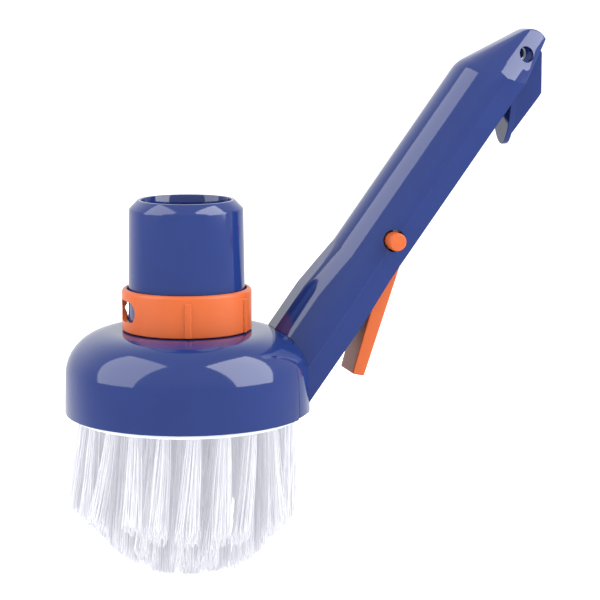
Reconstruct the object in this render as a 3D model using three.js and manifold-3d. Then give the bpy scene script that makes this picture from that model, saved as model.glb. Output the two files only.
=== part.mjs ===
// Pool wall brush: a round suction head with bristle tufts, a hose port with a turning air ring, and a
// channel handle that plugs into a telescopic pole and locks there with two lever-released buttons.
// Millimetres. Everything is drawn about the head: its axis is Z, its skirt ends at z = 0, and the handle
// leans towards +X. The finished group is then moved so that its origin is at the middle of its base.
import * as THREE from 'three';
import { mergeVertices } from 'three/addons/utils/BufferGeometryUtils.js';
import { ConvexGeometry } from 'three/addons/geometries/ConvexGeometry.js';
import Module from 'manifold-3d';

const wasm = await Module();
wasm.setup();

// ---- driving dimensions ----
const GAP = 0.3;                 // clearance kept between touching pieces
const ROUND = 48;                // facets on the large round pieces

// head shell
const SKIRT_R = 41.2;
const SKIRT_H = 13;
const TOP_R = 25;                // flat top, out to the rounded shoulder
const TOP_Z = 27.8;
const SHELL = 2.6;
const SKIRT_TAPER = 0.3;

// hose port
const PORT_TOP_Z = 71.4;
const PORT_TOP_R = 19;           // fits a 38 mm hose cuff
const PORT_FOOT_R = 19.6;
const PORT_NECK_R = 19.3;
const PORT_FLANGE_R = 21.8;
const PORT_FLANGE_Z = 20.5;
const PORT_CHAMFER = 3.1;
const BORE_TOP_R = 15;
const BORE_FOOT_R = 15.8;
const GROOVE_Z = 29.2;           // holds the air ring's bead
const GROOVE_H = 1.8;
const GROOVE_R = 18.7;

// air ring
const RING_R = 21.7;
const RING_BORE_R = 20;
const RING_Z = 28.1;
const RING_TOP_Z = 42;
const RING_EDGE = 1.2;
const SLOT_Z = 35;
const SLOT_H = 7;
const SLOT_DEG = 38;             // angle that a slot spans
const SLOT_MIDDLES_DEG = [186, 145];
const RING_TURN_DEG = 45;        // turn that brings the first slot over the port's window
const GRIP_DEG = [259, 319, 19, 79];
const GRIP_W = 1.8;
const GRIP_PROUD = 0.7;

// bristle plate and tufts
const PLATE_R = 38.2;
const PLATE_LOW_Z = -1.6;
const PLATE_TOP_Z = 5.2;
const MOUTH_R = 8.5;             // suction mouth in the middle of the plate
const TUFT_R = 2.2;
const TUFT_HOLE_Z = 3.7;
const LOWEST_TIP_Z = -55.5;
const TUFT_RINGS = [
  { name: 'outer', count: 22, rootR: 34, tipR: 35.5, tipSize: 3.2, tipZ: -35.5 },
  { name: 'middle', count: 14, rootR: 24.5, tipR: 24.8, tipSize: 3.5, tipZ: -46.6 },
  { name: 'inner', count: 8, rootR: 14, tipR: 12, tipSize: 3.3, tipZ: LOWEST_TIP_Z },
];
const WINDOW_R = 29.2;           // arc windows between the outer and middle tufts
const WINDOW_W = 2.4;
const WINDOW_DEG = 60;
const PLATE_SCREW_R = 28.9;

// handle, drawn in its own frame: x towards its open underside, y across, z up along its axis
const LEAN_DEG = 54;             // handle axis above the horizontal
const HANDLE_X = 28.8;           // where the handle axis crosses z = 0
const HANDLE_R = 14.6;           // slides into a telescopic pole
const HANDLE_WALL = 2.2;
const CREASE = -1.6;             // parting line, where the round top becomes flat walls
const WALL_EDGE = 5.3;           // lower edge of the side walls
const WALL_EDGE_HALF = 13.3;
const NOSE_T = 132.4;            // where the nose begins along the axis
const STOP_T = 52;               // shoulder that stops the pole
const ROOT_TOP = -15.8;          // flat top of the thick root
const ROOT_DEPTH = 16.6;
const ROOT_HALF = 15;
const ROOT_EDGE = 6.2;
const TIP_X = 119.7;             // round tip of the nose, in the head's frame
const TIP_Z = 120.6;
const TIP_R = 6.2;
const TIP_HALF = 4.6;
const STRAP_T = 147.1;           // cross hole for a strap
const STRAP_V = 1.2;
const STRAP_R = 2.75;
const RIB_T = 2;                 // cross ribs and web
const RIBS = [{ x: 79.9, lowZ: 45.4 }, { x: 110.6, lowZ: 87.4 }];
const RIB_HALF = 10.5;
const WEB_FRONT_X = 125;
const KEY_HALF = 15.7;           // foot of the handle, let into the skirt
const KEY_X = 30.8;
const KEY_TOP_Z = 23.7;
const LUG_Z = 17.2;
const LUG_T = 2.3;

// lock buttons, lever and their pin, in the handle's frame
const BUTTON_T = 69.2;
const BUTTON_V = -1.7;
const BUTTON_R = 3.05;
const BUTTON_HOLE_R = 3.75;
const BUTTON_FACE = 18.5;        // outer face, from the middle plane
const FLANGE_IN = 6.5;
const FLANGE_OUT = 8.5;
const FLANGE_REACH = 6.6;
const PIVOT_T = 79.5;
const PIVOT_V = 1.2;
const PIN_R = 1.5;
const PIN_HALF = 12.9;
const BARREL_R = 2.8;
const BARREL_HALF = 9.2;
const LEVER_END_HALF = 7.25;
const LEVER_HALF = 8.3;
const EAR_HALF = 10.7;
const EAR_T = 62.7;
const EAR_LEN = 2.3;
const SPRING_R = 2.4;
const SPRING_WIRE = 0.35;
const SPRING_TURNS = 5;

// screws
const SCREW_R = 1.25;
const SCREW_HEAD_R = 2.5;
const SCREW_HEAD_H = 1.6;
const BOSS_R = 3.3;

const rad = THREE.MathUtils.degToRad;

// ---- materials ----
function plastic(color, roughness) {
  return new THREE.MeshStandardMaterial({ color, roughness, metalness: 0 });
}

const bluePlastic = () => plastic(0x40549c, 0.22);
const orangePlastic = () => plastic(0xdd7a45, 0.32);
const whitePlastic = () => plastic(0xe4e6ee, 0.4);
const bristle = () => plastic(0xecebf2, 0.6);
const steel = () => new THREE.MeshStandardMaterial({ color: 0xb9bcc2, roughness: 0.3, metalness: 1 });

// ---- shape helpers ----
function solid(geometry) {
  const bare = new THREE.BufferGeometry();
  bare.setAttribute('position', geometry.getAttribute('position'));
  bare.setIndex(geometry.getIndex());
  const merged = mergeVertices(bare, 1e-4);
  const corners = merged.getIndex().array;
  const faces = [];
  for (let i = 0; i < corners.length; i += 3) {
    const [a, b, c] = corners.slice(i, i + 3);
    if (a !== b && b !== c && c !== a) faces.push(a, b, c);
  }
  const vertProperties = new Float32Array(merged.getAttribute('position').array);
  return new wasm.Manifold(new wasm.Mesh({ numProp: 3, vertProperties, triVerts: new Uint32Array(faces) }));
}

function shell(body) {
  const mesh = body.getMesh();
  const geometry = new THREE.BufferGeometry();
  geometry.setAttribute('position', new THREE.BufferAttribute(mesh.vertProperties, 3));
  geometry.setIndex(new THREE.BufferAttribute(mesh.triVerts, 1));
  geometry.computeVertexNormals();
  return geometry;
}

function piece(name, body, material) {
  const mesh = new THREE.Mesh(shell(body), material);
  mesh.name = name;
  return mesh;
}

// A solid of revolution about Z from a closed outline of [radius, height] points, counter-clockwise.
function revolve(outline, facets = ROUND) {
  const points = [...outline, outline[0]].map(([r, z]) => new THREE.Vector2(r, z));
  return solid(new THREE.LatheGeometry(points, facets).rotateX(Math.PI / 2));
}

function block([x0, y0, z0], [x1, y1, z1]) {
  const geometry = new THREE.BoxGeometry(x1 - x0, y1 - y0, z1 - z0);
  return solid(geometry.translate((x0 + x1) / 2, (y0 + y1) / 2, (z0 + z1) / 2));
}

function postZ(r, x, y, z0, z1, facets = 12) {
  const geometry = new THREE.CylinderGeometry(r, r, z1 - z0, facets).rotateX(Math.PI / 2);
  return solid(geometry.translate(x, y, (z0 + z1) / 2));
}

// A rod across the handle, from y0 to y1, at handle place (v, t).
function rodY(r, v, t, y0, y1, facets = 18) {
  const geometry = new THREE.CylinderGeometry(r, r, y1 - y0, facets);
  return solid(geometry.translate(v, (y0 + y1) / 2, t));
}

function extrudeZ(points, z0, z1) {
  const shape = new THREE.Shape(points.map(([x, y]) => new THREE.Vector2(x, y)));
  const geometry = new THREE.ExtrudeGeometry(shape, { depth: z1 - z0, bevelEnabled: false });
  return solid(geometry.translate(0, 0, z0));
}

// A plate in the XZ plane from [x, z] points, reaching the same way to both sides of y = 0.
function plateXZ(points, half) {
  const shape = new THREE.Shape(points.map(([x, z]) => new THREE.Vector2(x, z)));
  const geometry = new THREE.ExtrudeGeometry(shape, { depth: 2 * half, bevelEnabled: false });
  return solid(geometry.rotateX(Math.PI / 2).translate(0, half, 0));
}

function hull(points) {
  return solid(new ConvexGeometry(points.map((p) => new THREE.Vector3(...p))));
}

function arc(cx, cy, rx, ry, fromDeg, toDeg, steps) {
  const points = [];
  for (let i = 0; i <= steps; i += 1) {
    const a = rad(fromDeg + ((toDeg - fromDeg) * i) / steps);
    points.push([cx + rx * Math.cos(a), cy + ry * Math.sin(a)]);
  }
  return points;
}

function join(bodies) {
  return bodies.reduce((whole, body) => whole.add(body));
}

function around(r, deg) {
  return [r * Math.cos(rad(deg)), r * Math.sin(rad(deg))];
}

// ---- head ----
function headOutside(grow) {
  return [
    [SKIRT_R + grow, -grow],
    [SKIRT_R - SKIRT_TAPER + grow, SKIRT_H],
    ...arc(TOP_R, SKIRT_H, SKIRT_R - SKIRT_TAPER - TOP_R + grow, TOP_Z - SKIRT_H + grow, 0, 90, 7).slice(1),
  ];
}

function headShell() {
  const hole = PORT_NECK_R + GAP;
  const inside = headOutside(-SHELL).reverse();
  inside[inside.length - 1] = [SKIRT_R - SHELL, 0];
  return revolve([...headOutside(0).map(([r, z]) => [r, Math.max(z, 0)]), [hole, TOP_Z], [hole, TOP_Z - SHELL],
    ...inside]);
}

function filledHead(grow) {
  return revolve([[0, -grow], ...headOutside(grow), [0, TOP_Z + grow]]);
}

// The room inside the shell, open at the bottom.
function headCavity() {
  return revolve([[0, -1], [SKIRT_R - SHELL, -1], ...headOutside(-SHELL).slice(1), [0, TOP_Z - SHELL]]);
}

const plateScrewPlaces = [45, 135, 225, 315].map((deg) => around(PLATE_SCREW_R, deg));
const handleScrewPlaces = [[27, -8], [27, 8]];

function domeHousing() {
  let body = headShell();
  const inside = filledHead(-SHELL / 2);
  const plateBosses = plateScrewPlaces.map(([x, y]) => postZ(BOSS_R, x, y, PLATE_TOP_Z + GAP, TOP_Z));
  const handleBosses = handleScrewPlaces.map(([x, y]) => postZ(BOSS_R - 0.5, x, y, LUG_Z + LUG_T + GAP, TOP_Z));
  body = body.add(join([...plateBosses, ...handleBosses]).intersect(inside));
  for (const [x, y] of plateScrewPlaces) body = body.subtract(postZ(SCREW_R + GAP, x, y, 0, 14));
  for (const [x, y] of handleScrewPlaces) body = body.subtract(postZ(SCREW_R + GAP, x, y, LUG_Z, 24));
  const notch = block([KEY_X - GAP, -KEY_HALF - GAP, -1], [SKIRT_R + 1, KEY_HALF + GAP, KEY_TOP_Z + GAP]);
  return piece('dome_housing', body.subtract(notch), bluePlastic());
}

// An upright obround of the given angular span, centred on a compass direction, cut right through a wall.
function obroundCutter(middleDeg, r) {
  const half = rad(SLOT_DEG / 2) * RING_R - SLOT_H / 2;
  const outline = [...arc(half, 0, SLOT_H / 2, SLOT_H / 2, -90, 90, 6),
    ...arc(-half, 0, SLOT_H / 2, SLOT_H / 2, 90, 270, 6)];
  const shape = new THREE.Shape(outline.map(([x, y]) => new THREE.Vector2(x, y)));
  const geometry = new THREE.ExtrudeGeometry(shape, { depth: 12, bevelEnabled: false, steps: 1 });
  const standing = geometry.rotateX(Math.PI / 2).rotateZ(Math.PI / 2).translate(r - 8, 0, SLOT_Z);
  return solid(standing.rotateZ(rad(middleDeg)));
}

function hosePort() {
  const tube = revolve([
    [BORE_FOOT_R, PORT_FLANGE_Z], [PORT_FLANGE_R, PORT_FLANGE_Z], [PORT_FLANGE_R, TOP_Z - SHELL - GAP],
    [PORT_NECK_R, TOP_Z - SHELL - GAP], [PORT_NECK_R, GROOVE_Z], [GROOVE_R, GROOVE_Z],
    [GROOVE_R, GROOVE_Z + GROOVE_H], [PORT_FOOT_R, GROOVE_Z + GROOVE_H],
    [PORT_TOP_R, PORT_TOP_Z - PORT_CHAMFER], [PORT_TOP_R - PORT_CHAMFER, PORT_TOP_Z], [BORE_TOP_R, PORT_TOP_Z],
  ]);
  const window = obroundCutter(SLOT_MIDDLES_DEG[0] + RING_TURN_DEG, RING_R);
  return piece('hose_port', tube.subtract(window), bluePlastic());
}

function suctionRing() {
  const beadLow = GROOVE_Z + GAP;
  const beadTop = GROOVE_Z + GROOVE_H - GAP;
  let body = revolve([
    [RING_BORE_R, RING_Z], [RING_R, RING_Z],
    ...arc(RING_R - RING_EDGE, RING_TOP_Z - RING_EDGE, RING_EDGE, RING_EDGE, 0, 90, 4),
    [RING_BORE_R, RING_TOP_Z], [RING_BORE_R, beadTop], [GROOVE_R + GAP, beadTop], [GROOVE_R + GAP, beadLow],
    [RING_BORE_R, beadLow],
  ]);
  for (const deg of GRIP_DEG) {
    const grip = new THREE.BoxGeometry(GRIP_PROUD + 1, GRIP_W, RING_TOP_Z - RING_Z - 2.2);
    grip.translate(RING_R - 1 + (GRIP_PROUD + 1) / 2, 0, (RING_TOP_Z + RING_Z - 2.2) / 2);
    body = body.add(solid(grip.rotateZ(rad(deg))));
  }
  for (const deg of SLOT_MIDDLES_DEG) body = body.subtract(obroundCutter(deg, RING_R + 2.5));
  return piece('suction_ring', body, orangePlastic());
}

function tuftAngle(ring, i) {
  return (360 / ring.count) * i;
}

function bristlePlate() {
  let body = revolve([[MOUTH_R, PLATE_LOW_Z], [PLATE_R, PLATE_LOW_Z], [PLATE_R, PLATE_TOP_Z],
    [MOUTH_R, PLATE_TOP_Z]]);
  for (const ring of TUFT_RINGS) {
    for (let i = 0; i < ring.count; i += 1) {
      const [x, y] = around(ring.rootR, tuftAngle(ring, i));
      body = body.subtract(postZ(TUFT_R + GAP, x, y, PLATE_LOW_Z - 1, TUFT_HOLE_Z, 8));
    }
  }
  for (const [x, y] of plateScrewPlaces) {
    body = body.subtract(postZ(SCREW_R + GAP, x, y, PLATE_LOW_Z - 1, PLATE_TOP_Z + 1, 12));
  }
  for (const deg of [0, 90, 180, 270]) {
    const outline = [...arc(0, 0, WINDOW_R + WINDOW_W / 2, WINDOW_R + WINDOW_W / 2, -WINDOW_DEG / 2, WINDOW_DEG / 2, 8),
      ...arc(0, 0, WINDOW_R - WINDOW_W / 2, WINDOW_R - WINDOW_W / 2, WINDOW_DEG / 2, -WINDOW_DEG / 2, 8)];
    const turned = outline.map(([x, y]) => {
      const [c, s] = around(1, deg);
      return [x * c - y * s, x * s + y * c];
    });
    body = body.subtract(extrudeZ(turned, PLATE_LOW_Z - 1, PLATE_TOP_Z + 1));
  }
  return piece('bristle_plate', body, whitePlastic());
}

function circlePoints(r, cx, cy, z, sides) {
  return arc(cx, cy, r, r, 0, 360 - 360 / sides, sides - 1).map(([x, y]) => [x, y, z]);
}

function tufts() {
  return TUFT_RINGS.flatMap((ring) => Array.from({ length: ring.count }, (_, i) => {
    const deg = tuftAngle(ring, i);
    const root = around(ring.rootR, deg);
    const tip = around(ring.tipR, deg);
    const flare = hull([
      ...circlePoints(TUFT_R, ...root, PLATE_LOW_Z, 8),
      ...circlePoints(ring.tipSize, ...tip, ring.tipZ + 6, 8),
      ...circlePoints(ring.tipSize - 0.8, ...tip, ring.tipZ, 8),
    ]);
    const rootEnd = hull([...circlePoints(TUFT_R, ...root, PLATE_LOW_Z, 8),
      ...circlePoints(TUFT_R, ...root, TUFT_HOLE_Z - GAP, 8)]);
    return piece(`tuft_${ring.name}_${i + 1}`, flare.add(rootEnd), bristle());
  }));
}

// A pan-head screw standing upright, its head below at headZ and its tip at topZ.
function screw(name, [x, y], headZ, topZ) {
  const body = postZ(SCREW_HEAD_R, x, y, headZ, headZ + SCREW_HEAD_H).add(postZ(SCREW_R, x, y, headZ, topZ, 10));
  return piece(name, body, steel());
}

// ---- handle ----
// The handle's section: a round top with walls that lean in to their lower edge.
function handleOutline(topDepth, halfWidth, edgeV, edgeHalf) {
  const start = (Math.acos(CREASE / topDepth) * 180) / Math.PI;
  return [[edgeV, edgeHalf], ...arc(0, 0, topDepth, halfWidth, start, 360 - start, 20), [edgeV, -edgeHalf]];
}

function sectionPoints(topDepth, halfWidth, edgeV, edgeHalf, t) {
  return handleOutline(topDepth, halfWidth, edgeV, edgeHalf).map(([v, w]) => [v, w, t]);
}

// Turns a solid that was drawn in the head's frame into the handle's frame.
function intoHandleFrame(body) {
  return body.translate([-HANDLE_X, 0, 0]).rotate([0, LEAN_DEG - 90, 0]);
}

function tipPlace() {
  const c = Math.cos(rad(LEAN_DEG));
  const s = Math.sin(rad(LEAN_DEG));
  const dx = TIP_X - HANDLE_X;
  return { v: dx * s - TIP_Z * c, t: dx * c + TIP_Z * s };
}

function tipDisc(r, half) {
  const { v, t } = tipPlace();
  return arc(v, t, r, r, 0, 340, 17).flatMap(([dv, dt]) => [[dv, -half, dt], [dv, half, dt]]);
}

function noseOutside(shrink) {
  const section = sectionPoints(HANDLE_R - shrink, HANDLE_R - shrink, WALL_EDGE, WALL_EDGE_HALF - shrink, NOSE_T);
  return hull([...section, ...tipDisc(TIP_R - shrink, TIP_HALF - shrink)]);
}

// The hollow of the nose, open all along its underside.
function noseHollow() {
  const r = HANDLE_R - HANDLE_WALL;
  const half = TIP_HALF - 1.8;
  const { t } = tipPlace();
  const below = 30;
  return hull([
    ...sectionPoints(r, r, below, WALL_EDGE_HALF - HANDLE_WALL, NOSE_T - 0.5),
    ...tipDisc(TIP_R - 2, half),
    [below, half, t], [below, -half, t],
  ]);
}

function crossRib({ x, lowZ }, core) {
  const middleZ = (x - HANDLE_X) * Math.tan(rad(LEAN_DEG));
  const oval = arc(0, middleZ, RIB_HALF, middleZ - lowZ, 180, 360, 14);
  const shape = new THREE.Shape(oval.map(([y, z]) => new THREE.Vector2(y, z)));
  const low = new THREE.ExtrudeGeometry(shape, { depth: RIB_T, bevelEnabled: false });
  low.rotateX(Math.PI / 2).rotateZ(Math.PI / 2).translate(x, 0, 0);
  const upper = block([x, -HANDLE_R, middleZ - 16], [x + RIB_T, HANDLE_R, middleZ + 40]);
  return intoHandleFrame(upper).intersect(core).add(intoHandleFrame(solid(low)));
}

function noseWeb() {
  const [low, front, top] = [RIBS[1].lowZ, 103.4, 118.6];
  const back = RIBS[1].x + RIB_T / 2;
  return intoHandleFrame(plateXZ([[back, low + 0.1], [WEB_FRONT_X - 0.9, front], [WEB_FRONT_X, front + 1.4],
    [WEB_FRONT_X, top], [TIP_X + 2, TIP_Z + 3], [TIP_X - 2, TIP_Z + 4], [back, low + 35]], RIB_T / 2));
}

function handle() {
  const inner = HANDLE_R - HANDLE_WALL;
  const upper = extrudeZ(handleOutline(HANDLE_R, HANDLE_R, WALL_EDGE, WALL_EDGE_HALF), STOP_T - 5, NOSE_T);
  const rootOutline = handleOutline(ROOT_DEPTH, ROOT_HALF, ROOT_EDGE, WALL_EDGE_HALF + 0.3);
  const flatTop = block([ROOT_TOP, -20, -40], [40, 20, STOP_T]);
  const root = extrudeZ(rootOutline, -30, STOP_T).intersect(flatTop);
  const hollow = extrudeZ(handleOutline(inner, inner, 30, WALL_EDGE_HALF - HANDLE_WALL), -60, NOSE_T);
  const lowerCut = hull([[7.9, -20, 138.3], [7.9, 20, 138.3], [5.5, -20, 151.5], [5.5, 20, 151.5],
    [5.5, -20, 160], [5.5, 20, 160], [40, -20, 138.3], [40, 20, 138.3], [40, -20, 160], [40, 20, 160]]);
  let body = join([upper, root, noseOutside(0)]).subtract(hollow).subtract(noseHollow()).subtract(lowerCut);

  const core = extrudeZ(handleOutline(HANDLE_R - 1, HANDLE_R - 1, WALL_EDGE - 0.3, WALL_EDGE_HALF - 1), STOP_T,
    NOSE_T + 0.1).add(noseOutside(1).subtract(lowerCut));
  for (const rib of RIBS) body = body.add(crossRib(rib, core));
  body = body.add(noseWeb());
  body = body.subtract(rodY(STRAP_R, STRAP_V, STRAP_T, -20, 20));

  for (const side of [-1, 1]) {
    const [from, to] = side < 0 ? [-13.2, -BARREL_HALF - 0.5] : [BARREL_HALF + 0.5, 13.2];
    body = body.add(rodY(BARREL_R + 0.6, PIVOT_V, PIVOT_T, from, to));
  }
  body = body.subtract(rodY(PIN_R + GAP, PIVOT_V, PIVOT_T, -PIN_HALF - GAP, PIN_HALF + GAP));
  body = body.subtract(rodY(BUTTON_HOLE_R, BUTTON_V, BUTTON_T, -20, 20));

  const keyRoom = block([KEY_X, -KEY_HALF, -1], [SKIRT_R + 20, KEY_HALF, KEY_TOP_Z]);
  const headCut = filledHead(GAP).subtract(keyRoom);
  const below = block([-60, -60, -60], [200, 60, 0]);
  const cuts = intoHandleFrame(join([headCut, headCavity(), below]));
  const key = headShell().intersect(block([KEY_X, -KEY_HALF, 0], [SKIRT_R + 1, KEY_HALF, KEY_TOP_Z]));
  let lug = block([23.5, -12, LUG_Z], [SKIRT_R - SHELL, 12, LUG_Z + LUG_T]);
  for (const [x, y] of handleScrewPlaces) lug = lug.subtract(postZ(SCREW_R + GAP, x, y, 0, TOP_Z));
  body = body.subtract(cuts).add(intoHandleFrame(key.add(lug)));
  return piece('handle', body, bluePlastic());
}

// ---- lock mechanism, in the handle's frame ----
function lockButton(name, side) {
  const flange = block([BUTTON_V - BUTTON_R, -FLANGE_OUT, BUTTON_T - FLANGE_REACH],
    [BUTTON_V + BUTTON_R, -FLANGE_IN, BUTTON_T + BUTTON_R]);
  const bossTop = rodY(BUTTON_R, BUTTON_V, BUTTON_T, -BUTTON_FACE + 0.5, -FLANGE_IN - 0.5);
  const face = solid(new THREE.CylinderGeometry(BUTTON_R, BUTTON_R - 0.5, 0.5, 18)
    .translate(BUTTON_V, -BUTTON_FACE + 0.25, BUTTON_T));
  const spigot = rodY(SPRING_R - SPRING_WIRE - GAP, BUTTON_V, BUTTON_T, -FLANGE_IN - 0.5, -FLANGE_IN + 1.9, 14);
  let body = join([flange, bossTop, face, spigot]);
  if (side > 0) body = body.mirror([0, 1, 0]);
  return piece(name, body, orangePlastic());
}

function buttonSpring() {
  const half = FLANGE_IN - GAP - SPRING_WIRE;
  class Helix extends THREE.Curve {
    getPoint(u, target = new THREE.Vector3()) {
      const a = u * SPRING_TURNS * 2 * Math.PI;
      return target.set(BUTTON_V + SPRING_R * Math.cos(a), -half + 2 * half * u, BUTTON_T + SPRING_R * Math.sin(a));
    }
  }
  const wire = new THREE.Shape().absarc(0, 0, SPRING_WIRE, 0, 2 * Math.PI);
  const geometry = new THREE.ExtrudeGeometry(wire, { steps: SPRING_TURNS * 10, curveSegments: 5, extrudePath: new Helix() });
  return piece('button_spring', solid(geometry), steel());
}

function releaseLever() {
  const paddle = [[24.6, 15.3], [26.3, 19.2], [66, 6.4], [73, 5.3], [PIVOT_T, PIVOT_V + BARREL_R],
    [PIVOT_T, PIVOT_V], [76.5, 3.2], [70.5, 3.9], [65.3, 5], [62.8, 5.6], [61.4, 2.4], [59.6, 2.4], [52, 5.4]];
  const sides = paddle.map(([t, v]) => [v, t]);
  let body = plateXZ(sides, EAR_HALF);
  const plan = [[20, LEVER_END_HALF], [60, LEVER_HALF], [84, LEVER_HALF]];
  const outline = [...plan, ...plan.map(([t, w]) => [t, -w]).reverse()];
  const trim = new THREE.Shape(outline.map(([t, w]) => new THREE.Vector2(t, w)));
  const trimmer = new THREE.ExtrudeGeometry(trim, { depth: 60, bevelEnabled: false });
  body = body.intersect(solid(trimmer.applyMatrix4(new THREE.Matrix4().set(
    0, 0, 1, -20,
    0, -1, 0, 0,
    1, 0, 0, 0,
    0, 0, 0, 1))));
  const pocket = plateXZ([[15.8, 31], [21.5, 31], [8.5, 56.5], [7.4, 56.5]], LEVER_END_HALF - 2);
  body = body.subtract(pocket).add(rodY(BARREL_R, PIVOT_V, PIVOT_T, -BARREL_HALF, BARREL_HALF));
  for (const side of [-1, 1]) {
    const wedge = [[0.2, EAR_HALF - 0.2], [1.1, 9.3], [3.2, 6.9], [6.2, 6.9], [6.2, 8.5], [3.4, EAR_HALF], [0.2, EAR_HALF]];
    const ear = new THREE.Shape(wedge.map(([v, w]) => new THREE.Vector2(v, w * side)));
    const solidEar = new THREE.ExtrudeGeometry(ear, { depth: EAR_LEN, bevelEnabled: false }).translate(0, 0, EAR_T);
    body = body.add(solid(solidEar));
  }
  body = body.subtract(rodY(PIN_R + GAP, PIVOT_V, PIVOT_T, -20, 20));
  return piece('release_lever', body, orangePlastic());
}

function leverPin() {
  return piece('lever_pin', rodY(PIN_R, PIVOT_V, PIVOT_T, -PIN_HALF, PIN_HALF, 16), steel());
}

// ---- assembly ----
function headGroup() {
  const group = new THREE.Group();
  group.add(domeHousing(), hosePort(), suctionRing(), bristlePlate(), ...tufts());
  plateScrewPlaces.forEach((place, i) => {
    group.add(screw(`plate_screw_${i + 1}`, place, PLATE_LOW_Z - GAP - SCREW_HEAD_H, 12));
  });
  handleScrewPlaces.forEach((place, i) => {
    group.add(screw(`handle_screw_${i + 1}`, place, LUG_Z - GAP - SCREW_HEAD_H, 23));
  });
  return group;
}

function handleGroup() {
  const group = new THREE.Group();
  group.add(handle(), releaseLever(), leverPin(), lockButton('lock_button_near', -1),
    lockButton('lock_button_far', 1), buttonSpring());
  group.position.x = HANDLE_X;
  group.rotation.y = rad(90 - LEAN_DEG);
  return group;
}

const brush = new THREE.Group();
brush.add(headGroup(), handleGroup());
const extent = new THREE.Box3().setFromObject(brush, true);
brush.position.set(-(extent.min.x + extent.max.x) / 2, 0, -extent.min.z);

export default brush;
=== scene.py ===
import math

import bpy
import numpy as np
from mathutils import Matrix, Vector


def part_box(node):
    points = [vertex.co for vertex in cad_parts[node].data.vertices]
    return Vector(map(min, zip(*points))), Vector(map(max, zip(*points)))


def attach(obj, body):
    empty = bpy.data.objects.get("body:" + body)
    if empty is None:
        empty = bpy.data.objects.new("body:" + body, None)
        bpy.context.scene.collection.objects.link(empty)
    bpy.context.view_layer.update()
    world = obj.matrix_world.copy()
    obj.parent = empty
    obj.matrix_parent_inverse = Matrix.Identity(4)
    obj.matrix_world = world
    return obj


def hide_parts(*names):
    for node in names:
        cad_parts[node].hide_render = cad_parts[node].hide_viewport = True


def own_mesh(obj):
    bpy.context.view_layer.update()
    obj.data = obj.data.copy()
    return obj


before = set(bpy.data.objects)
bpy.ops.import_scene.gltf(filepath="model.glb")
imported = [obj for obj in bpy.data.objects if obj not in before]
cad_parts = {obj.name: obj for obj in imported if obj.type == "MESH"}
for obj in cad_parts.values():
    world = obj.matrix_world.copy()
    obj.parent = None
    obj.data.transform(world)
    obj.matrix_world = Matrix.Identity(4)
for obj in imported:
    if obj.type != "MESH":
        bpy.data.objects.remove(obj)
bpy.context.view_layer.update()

# ---- Dome housing ----
# The head's upper shell: one injection moulding in gloss blue polypropylene with a deep skirt, a rounded
# shoulder and a hole for the hose port. A notch in the skirt takes the foot of the handle.
mm = 0.001
port_low, port_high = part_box("hose_port")
head_axis_x = (port_low.x + port_high.x) / 2
skirt_edge_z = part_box("dome_housing")[0].z
lathe_steps = 144
skirt_radius = 41.2
shoulder_start = 13
shoulder_inner = 25
dome_height = 27.8
dome_wall = 2.6
port_hole_radius = 19.6
key_half = 15.7
key_start = 30.8
key_height = 23.7
seam_gap = 0.12
skirt_seam_y = 25.6
screw_circle = 28.9
screw_bore = 1.55
screw_corners = (45, 135, 225, 315)


def head(x, y, z):
    """A place in metres, from mm off the head's axis and above the skirt's lower edge."""
    return Vector((head_axis_x + x * mm, y * mm, skirt_edge_z + z * mm))


def bow(cx, cy, rx, ry, start, end, steps):
    """Points along an elliptical arc, in degrees."""
    turns = [math.radians(start + (end - start) * i / steps) for i in range(steps + 1)]
    return [(cx + rx * math.cos(a), cy + ry * math.sin(a)) for a in turns]


def trace(name, places, closed=True):
    """A line of edges drawn out from one vertex, place after place, left in edit mode."""
    bpy.ops.object.select_all(action="DESELECT")
    bpy.ops.mesh.primitive_plane_add(size=mm, location=(0, 0, 0))
    bpy.context.object.name = name
    bpy.ops.object.mode_set(mode="EDIT")
    bpy.ops.mesh.select_all(action="SELECT")
    bpy.ops.mesh.merge(type="CENTER")
    bpy.ops.transform.translate(value=places[0])
    route = list(places[1:]) + ([places[0]] if closed else [])
    here = places[0]
    for place in route:
        bpy.ops.mesh.extrude_region_move(TRANSFORM_OT_translate={"value": place - here})
        here = place
    bpy.ops.mesh.select_all(action="SELECT")
    bpy.ops.mesh.remove_doubles(threshold=1e-6)
    return bpy.context.object


def close_up(piece):
    """Leaves edit mode with doubles merged and every face pointing outwards."""
    bpy.ops.mesh.select_all(action="SELECT")
    bpy.ops.mesh.remove_doubles(threshold=1e-6)
    bpy.ops.mesh.normals_make_consistent(inside=False)
    bpy.ops.object.mode_set(mode="OBJECT")
    return piece


def turned(name, profile, centre=(0, 0), steps=lathe_steps):
    """A turned shape: [radius, height] points spun about an upright axis at centre, in head sizes."""
    piece = trace(name, [head(centre[0] + r, centre[1], z) for r, z in profile])
    bpy.ops.mesh.spin(steps=steps, angle=2 * math.pi, center=head(*centre, 0), axis=(0, 0, 1))
    return close_up(piece)


def pulled(name, places, reach):
    """A flat outline filled and pulled out along reach."""
    piece = trace(name, places)
    bpy.ops.mesh.edge_face_add()
    bpy.ops.mesh.extrude_region_move(TRANSFORM_OT_translate={"value": reach})
    return close_up(piece)


def slab(name, low, high):
    """A rectangular block between two corners, in head sizes."""
    (x0, y0, z0), (x1, y1, z1) = low, high
    corners = [head(x0, y0, z0), head(x1, y0, z0), head(x1, y1, z0), head(x0, y1, z0)]
    return pulled(name, corners, Vector((0, 0, (z1 - z0) * mm)))


def twin(piece, name):
    """A copy of a piece with a mesh of its own."""
    copy = piece.copy()
    copy.data = piece.data.copy()
    copy.name = name
    bpy.context.collection.objects.link(copy)
    return copy


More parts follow.
